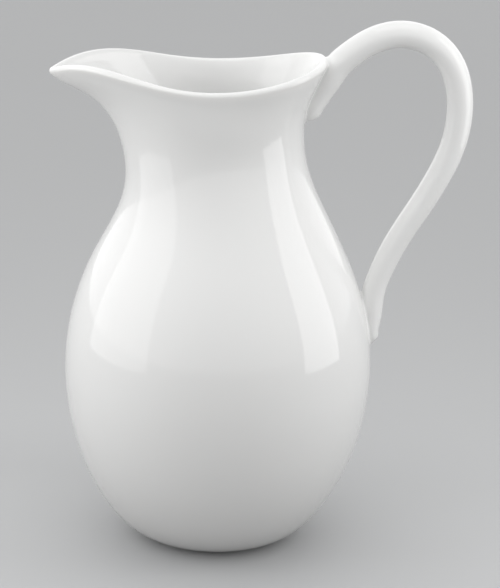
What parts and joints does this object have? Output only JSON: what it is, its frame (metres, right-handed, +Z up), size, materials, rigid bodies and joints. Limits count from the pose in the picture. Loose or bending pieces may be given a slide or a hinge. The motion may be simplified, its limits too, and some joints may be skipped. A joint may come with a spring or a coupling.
{
  "type": "pitcher",
  "caption": "White glazed porcelain pitcher with a bulbous body, waisted neck, flared pouring spout and a high ear-shaped handle.",
  "frame": {"origin": "centre of the round foot, on the surface the pitcher stands on", "axes": "+Z up; +X from the body's axis towards the handle, -X towards the spout; +Y across, to the pitcher's mirror side"},
  "size_m": [0.1943, 0.1442, 0.2498],
  "materials": {
    "glaze": "white high-gloss transparent glaze over a dense white body"
  },
  "bodies": {
    "root": {"pitcher": "glaze"}
  },
  "joints": []
}
